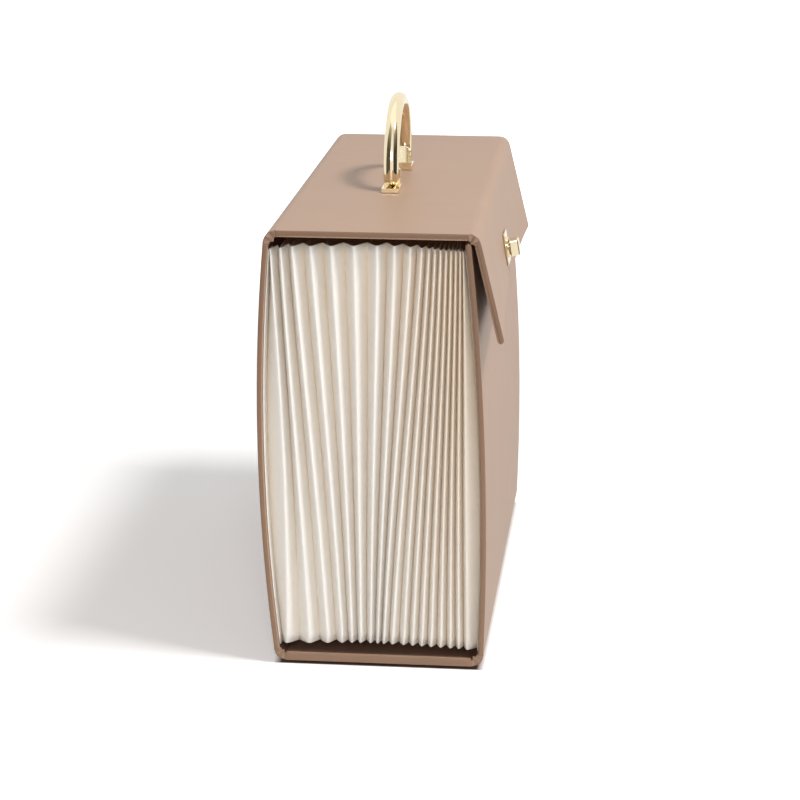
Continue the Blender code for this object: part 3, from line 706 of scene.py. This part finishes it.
# Handle: a round rod with rounded ends. Its legs stand at LEG_Y, are STRAIGHT above the pivot and arch up
HANDLE_X, ROD_R, LEG_Y, PIVOT_Z = -0.0052, 0.0047, 0.0405, 0.2674
STRAIGHT, RISE = 0.0040, 0.0374
CAP_ANGLES = (88, 80, 70, 58, 45, 30, 15)
HANDLE_STEPS, HANDLE_SIDES = 72, 36


def tube(name, points, radii, sides, material):
    """Rings square to a path that lies in a plane of constant x"""
    verts = []
    count = len(points)
    across = Vector((1, 0, 0))
    for i, (point, radius) in enumerate(zip(points, radii)):
        ahead = points[min(i + 1, count - 1)] - points[max(i - 1, 0)]
        up = ahead.normalized().cross(across).normalized()
        for s in range(sides):
            a = 2 * math.pi * s / sides
            verts.append(point + radius * (math.cos(a) * across + math.sin(a) * up))
    item = new_object(name, verts, ring_faces(count, sides) + end_faces(count, sides), (material,))
    face_outwards(item)
    return item


def bail():
    caps = [math.radians(a) for a in CAP_ANGLES]
    leg = [(PIVOT_Z - ROD_R * math.sin(a), ROD_R * math.cos(a)) for a in caps] + [(PIVOT_Z, ROD_R)]
    path = [(-LEG_Y, z, radius) for z, radius in leg]
    for i in range(HANDLE_STEPS + 1):
        a = math.pi * i / HANDLE_STEPS
        path.append((-LEG_Y * math.cos(a), PIVOT_Z + STRAIGHT + RISE * math.sin(a), ROD_R))
    path += [(LEG_Y, z, radius) for z, radius in reversed(leg)]
    points = [Vector((HANDLE_X, y, z)) for y, z, _ in path]
    item = tube("arched_handle", points, [radius for _, _, radius in path], HANDLE_SIDES, gold)
    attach(item, "handle")
    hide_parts("handle_bail")


bail()

# Handle brackets: a foot plate on the lid, and an ear whose inner face has a crease, above which it
# leans out to its shoulders and its narrow crown
FOOT_UNDER, FOOT_OVER = HEIGHT + 0.0003, HEIGHT + 0.0029
CREASE_Z, SHOULDER_Z, CROWN_Z = HEIGHT + 0.0050, HEIGHT + 0.0122, HEIGHT + 0.0153
EAR_Y, EAR_BACK_Y, PLATE_END_Y, EAR_LEAN = 0.0300, 0.0354, 0.0481, 0.0024
PLATE_WIDTH, EAR_WIDTH, SHOULDER_WIDTH, CROWN_WIDTH = 0.0108, 0.0102, 0.0096, 0.0036
BEVEL, BEVEL_STEPS, BEVEL_ANGLE = 0.0004, 4, math.radians(10)


def bracket(label, side):
    slope = EAR_LEAN / (CROWN_Z - CREASE_Z)
    narrowing = (EAR_WIDTH - SHOULDER_WIDTH) / (SHOULDER_Z - FOOT_OVER)
    crease_width = EAR_WIDTH - narrowing * (CREASE_Z - FOOT_OVER)
    mesh = bpy.data.meshes.new(f"bracket_{label}")
    shape = bmesh.new()

    def pair(width, y, z):
        return [shape.verts.new((HANDLE_X + hand * width / 2, side * y, z)) for hand in (1, -1)]

    def band(*rows):
        shape.faces.new([row[0] for row in rows] + [row[1] for row in reversed(rows)])

    under, under_end = pair(PLATE_WIDTH, EAR_Y, FOOT_UNDER), pair(PLATE_WIDTH, PLATE_END_Y, FOOT_UNDER)
    over, over_end = pair(PLATE_WIDTH, EAR_Y, FOOT_OVER), pair(PLATE_WIDTH, PLATE_END_Y, FOOT_OVER)
    foot, foot_back = pair(EAR_WIDTH, EAR_Y, FOOT_OVER), pair(EAR_WIDTH, EAR_BACK_Y, FOOT_OVER)
    crease = pair(crease_width, EAR_Y, CREASE_Z)
    shoulder = pair(SHOULDER_WIDTH, EAR_Y + slope * (SHOULDER_Z - CREASE_Z), SHOULDER_Z)
    shoulder_back = pair(SHOULDER_WIDTH, EAR_BACK_Y, SHOULDER_Z)
    crown, crown_back = pair(CROWN_WIDTH, EAR_Y + EAR_LEAN, CROWN_Z), pair(CROWN_WIDTH, EAR_BACK_Y, CROWN_Z)
    band(under, over, foot, crease)
    band(crease, shoulder, crown)
    band(crown, crown_back)
    band(foot_back, shoulder_back, crown_back)
    band(under, under_end)
    band(under_end, over_end)
    band(over_end, over, foot, foot_back)
    for hand in (0, 1):
        shape.faces.new([row[hand] for row in (under, over, over_end, under_end)])
        shape.faces.new([row[hand] for row in (foot, crease, shoulder, shoulder_back, foot_back)])
        shape.faces.new([row[hand] for row in (shoulder, crown, crown_back, shoulder_back)])
    bmesh.ops.recalc_face_normals(shape, faces=shape.faces)
    for face in shape.faces:
        face.smooth = True
    shape.to_mesh(mesh)
    shape.free()
    mesh.materials.append(gold)
    item = linked(f"bracket_{label}", mesh)
    soften = item.modifiers.new("bevel", "BEVEL")
    soften.width = BEVEL
    soften.segments = BEVEL_STEPS
    soften.limit_method = "ANGLE"
    soften.angle_limit = BEVEL_ANGLE
    weight_normals(item)
    bake(item)
    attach(item, "lid")
    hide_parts(f"handle_bracket_{label}")


bracket("near", -1)
bracket("far", 1)

# Twist lock, made in its own frame: x out of the flap, y along the case, z up the flap
LOCK_DROP = 0.0434
lock_x, lock_z = flap_outline(LOCK_DROP, 0)
step_x, step_z = flap_outline(LOCK_DROP + FOLD_RUN, 0)
lock_lean = math.atan2(step_x - lock_x, lock_z - step_z)
lock_frame = Matrix.Translation((lock_x, 0, lock_z)) @ Matrix.Rotation(-lock_lean, 4, "Y")

PLATE_SIZE, PLATE_CENTRE, PLATE_R = (0.0010, 0.0190, 0.0197), (0.0008, 0, 0), 0.0003
TOGGLE_SIZE, TOGGLE_CENTRE, TOGGLE_R = (0.0060, 0.0104, 0.0100), (0.0058, 0, -0.0004), 0.0009

# Where the toggle's foot is, and the share of its width that it loses for each metre out from there
TOGGLE_FOOT, TOGGLE_TAPER = 0.0028, 12


def lock_box(name, size, centre, radius, body, replaced, segments):
    mesh = bpy.data.meshes.new(name)
    shape = bmesh.new()
    bmesh.ops.create_cube(shape, size=1)
    bmesh.ops.scale(shape, vec=size, verts=shape.verts)
    bmesh.ops.translate(shape, vec=centre, verts=shape.verts)
    bmesh.ops.bevel(
        shape, geom=list(shape.edges), offset=radius, segments=segments, profile=0.5, affect="EDGES"
    )
    for face in shape.faces:
        face.smooth = True
    for vert in shape.verts:
        vert.co.y *= 1 - TOGGLE_TAPER * max(vert.co.x - TOGGLE_FOOT, 0)
    shape.to_mesh(mesh)
    shape.free()
    mesh.materials.append(gold)
    mesh.transform(lock_frame)
    item = linked(name, mesh)
    weight_normals(item)
    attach(item, body)
    if replaced:
        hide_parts(replaced)


lock_box("lock_face_plate", PLATE_SIZE, PLATE_CENTRE, PLATE_R, "flap", "lock_plate", segments=3)
lock_box("lock_toggle", TOGGLE_SIZE, TOGGLE_CENTRE, TOGGLE_R, "lock", None, segments=5)


def lock_rings(rings, sides):
    """Points of rings round the lock's axis, from how far out each lies and its half width and height"""
    turns = [2 * math.pi * s / sides for s in range(sides)]
    return [
        lock_frame @ Vector((x, across * math.cos(a), up * math.sin(a)))
        for x, across, up in rings for a in turns
    ]


# The spindle's outline, as places along its axis and radii
SPINDLE_SIDES = 32
SPINDLE = (
    (-0.0063, 0.0), (-0.0063, 0.0012), (-0.0049, 0.0012), (-0.0049, 0.0020), (0.0016, 0.0020),
    (0.0016, 0.0029), (0.0040, 0.0029), (0.0040, 0.0),
)


def spindle():
    verts = lock_rings([(x, radius, radius) for x, radius in SPINDLE], SPINDLE_SIDES)
    faces = ring_faces(len(SPINDLE), SPINDLE_SIDES)
    item = new_object("lock_spindle", verts, faces, (gold,), smooth=False)
    face_outwards(item, weld=1e-6)
    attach(item, "lock")
    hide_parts("lock_knob")


spindle()

# The oval rim round the spindle, on the face plate: its section's points, each drawn round as a ring
COLLAR_SIDES = 48
COLLAR = (
    (0.0010, 0.0034, 0.0050), (0.0021, 0.0034, 0.0050), (0.0024, 0.0037, 0.0053),
    (0.0024, 0.0045, 0.0063), (0.0021, 0.0048, 0.0066), (0.0010, 0.0049, 0.0067),
)


def collar():
    faces = ring_faces(len(COLLAR), COLLAR_SIDES, closed=True)
    item = new_object("lock_collar", lock_rings(COLLAR, COLLAR_SIDES), faces, (gold,))
    face_outwards(item)
    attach(item, "flap")


collar()


# CAD nodes that still show keep their shape and take a material
def cad_finish(name):
    if name.startswith("divider"):
        return card
    if name.startswith("handle_pin"):
        return gold
    return steel


for name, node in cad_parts.items():
    if node.hide_render:
        continue
    for index in range(len(node.material_slots)):
        node.material_slots[index].material = cad_finish(name)
    if not node.material_slots:
        node.data.materials.append(cad_finish(name))

# Floor: pale, with a painted contact shadow under the case, which ends between the two distances given for
# each direction
FLOOR_SIZE, FLOOR_Z = 12.0, -0.0020
PALE_FLOOR, FLOOR_CONTACT_SHADOW = (0.95, 0.93, 0.915), (0.14, 0.085, 0.065)
UNDER_X, UNDER_Y = (0.058, 0.063), (HALF - 0.0015, HALF)

# Strength of the floor's glow by the case, and the distances between which it grows to 1
FLOOR_GLOW, GLOW_NEAR, GLOW_FAR = 0.22, 0.45, 1.4


def floor_material():
    material, nodes, links, shader = node_material("pale_floor")
    shader.inputs["Roughness"].default_value = 0.9
    shader.inputs["Specular IOR Level"].default_value = 0.1
    spot = texture_place(nodes, links)
    place = axes(nodes, links, spot)
    # Painted contact shadow: dark under the case, pale outside it
    clear = [
        ranged(nodes, links, maths(nodes, links, "ABSOLUTE", place[axis]), *under)
        for axis, under in (("X", UNDER_X), ("Y", UNDER_Y))
    ]
    free = maths(nodes, links, "MAXIMUM", *clear)
    links.new(ramp(nodes, links, free, 0.0, FLOOR_CONTACT_SHADOW, 1.0, PALE_FLOOR), shader.inputs["Base Color"])

    # White where metal mirrors it
    rays = nodes.new("ShaderNodeLightPath").outputs
    white = nodes.new("ShaderNodeEmission")
    lit = nodes.new("ShaderNodeMixShader")
    mirrored = maths(nodes, links, "MAXIMUM", rays["Is Glossy Ray"], rays["Is Transmission Ray"])
    links.new(mirrored, lit.inputs["Fac"])
    links.new(shader.outputs[0], lit.inputs[1])
    links.new(white.outputs[0], lit.inputs[2])

    # A glow that only the camera sees, stronger with the distance from the case and none under it
    reach = nodes.new("ShaderNodeVectorMath")
    reach.operation = "LENGTH"
    links.new(spot, reach.inputs[0])
    spread = ranged(nodes, links, reach.outputs["Value"], GLOW_NEAR, GLOW_FAR, low=FLOOR_GLOW)
    spread.node.interpolation_type = "SMOOTHSTEP"
    boost = maths(nodes, links, "MULTIPLY", rays["Is Camera Ray"], spread)
    glow = nodes.new("ShaderNodeEmission")
    links.new(maths(nodes, links, "MULTIPLY", boost, free), glow.inputs["Strength"])
    added = nodes.new("ShaderNodeAddShader")
    links.new(lit.outputs[0], added.inputs[0])
    links.new(glow.outputs[0], added.inputs[1])
    links.new(added.outputs[0], nodes["Material Output"].inputs["Surface"])
    return material


def stage_floor():
    h = FLOOR_SIZE / 2
    corners = [(-h, -h, 0), (h, -h, 0), (h, h, 0), (-h, h, 0)]
    item = new_object("floor", corners, [(0, 1, 2, 3)], (floor_material(),), smooth=False)
    item.location = (0, 0, FLOOR_Z)


# Dark cards that only the metal mirrors: bent round the case at CARD_DISTANCE, and brighter upwards
CARD_DISTANCE, CARD_STEPS = 0.9, 12
CARD_COLOUR, CARD_TOP_LEVEL, CARD_DARK_SHARE = (1, 0.94, 0.86, 1), 0.75, 0.3


def card_material(name, level, top):
    material = bpy.data.materials.new(name)
    material.use_nodes = True
    nodes, links = material.node_tree.nodes, material.node_tree.links
    nodes.remove(nodes["Principled BSDF"])
    glow = nodes.new("ShaderNodeEmission")
    glow.inputs["Color"].default_value = CARD_COLOUR
    height = axes(nodes, links, texture_place(nodes, links))["Z"]
    rise = ranged(nodes, links, height, CARD_DARK_SHARE * top, top, low=level, high=CARD_TOP_LEVEL)
    links.new(rise, glow.inputs["Strength"])
    links.new(glow.outputs[0], nodes["Material Output"].inputs["Surface"])
    return material


def dark_card(name, start, end, top, level):
    """A card between two angles, turned about Z from straight in front towards the right"""
    verts = []
    for i in range(CARD_STEPS + 1):
        a = math.radians(start + (end - start) * i / CARD_STEPS)
        verts += [(CARD_DISTANCE * math.sin(a), -CARD_DISTANCE * math.cos(a), z) for z in (0, top)]
    faces = [(2 * i, 2 * i + 2, 2 * i + 3, 2 * i + 1) for i in range(CARD_STEPS)]
    item = new_object(name, verts, faces, (card_material(name, level, top),), smooth=False)
    item.visible_camera = False
    item.visible_diffuse = False
    item.visible_shadow = False
    item.visible_transmission = False


dark_card("card_left", start=-74, end=-11, top=2.5, level=0.10)
dark_card("card_right", start=34, end=96, top=2.0, level=0.05)
stage_floor()


def area_lamp(name, size, energy, location, aim_z):
    """A rectangular lamp that points at a height on the case's middle line"""
    data = bpy.data.lights.new(name, "AREA")
    data.shape = "RECTANGLE"
    data.size, data.size_y = size
    data.energy = energy
    item = linked(name, data)
    item.location = location
    item.rotation_euler = (Vector((0, 0, aim_z)) - Vector(location)).to_track_quat("-Z", "Y").to_euler()


area_lamp("key", size=(0.50, 0.34), energy=28.0, location=(0.92, -0.36, 1.83), aim_z=0.1)
area_lamp("front_fill", size=(0.5, 0.5), energy=11.5, location=(0.12, -1.95, 0.95), aim_z=0.12)
area_lamp("side_fill", size=(0.6, 0.6), energy=5.0, location=(1.9, -0.5, 0.55), aim_z=0.12)
area_lamp("top_fill", size=(1.8, 1.8), energy=2.0, location=(-0.2, 0.3, 2.3), aim_z=0.1)

# The sky's light, low and high, and the heights between which it changes
SKY_LOW, SKY_HIGH, SKY_FROM, SKY_TO = 0.24, 0.36, 0.05, 0.55


def studio_world():
    """White to the camera and wherever it is mirrored; otherwise a soft light, stronger from above"""
    world = bpy.data.worlds.new("studio")
    world.use_nodes = True
    bpy.context.scene.world = world
    nodes, links = world.node_tree.nodes, world.node_tree.links
    background = nodes["Background"]
    background.inputs["Color"].default_value = (1, 1, 1, 1)
    rays = nodes.new("ShaderNodeLightPath").outputs
    seen = maths(nodes, links, "MAXIMUM", rays["Is Camera Ray"], rays["Is Glossy Ray"])
    seen = maths(nodes, links, "MAXIMUM", seen, rays["Is Transmission Ray"])
    direction = axes(nodes, links, nodes.new("ShaderNodeTexCoord").outputs["Generated"])
    sky = ranged(nodes, links, direction["Z"], SKY_FROM, SKY_TO, low=SKY_LOW, high=SKY_HIGH)
    strength = ranged(nodes, links, seen, 0.0, 1.0)
    links.new(sky, strength.node.inputs["To Min"])
    links.new(strength, background.inputs["Strength"])


studio_world()

# Camera, fitted to the photo: focal length and sensor in millimetres, place, and tilt and turn in radians
LENS, SENSOR = 119.25, 36
CAMERA_PLACE, CAMERA_TILT, CAMERA_TURN = (0.16273, -1.62329, 0.56389), 0.26781, 0.10238


def photo_camera():
    data = bpy.data.cameras.new("camera")
    data.sensor_width = SENSOR
    data.lens = LENS
    data.clip_start = 0.05
    data.clip_end = 50
    camera = linked("camera", data)
    camera.location = CAMERA_PLACE
    camera.rotation_euler = (math.pi / 2 - CAMERA_TILT, 0, CAMERA_TURN)
    bpy.context.scene.camera = camera


photo_camera()
bpy.context.scene.view_settings.view_transform = "Standard"

bpy.context.view_layer.update()
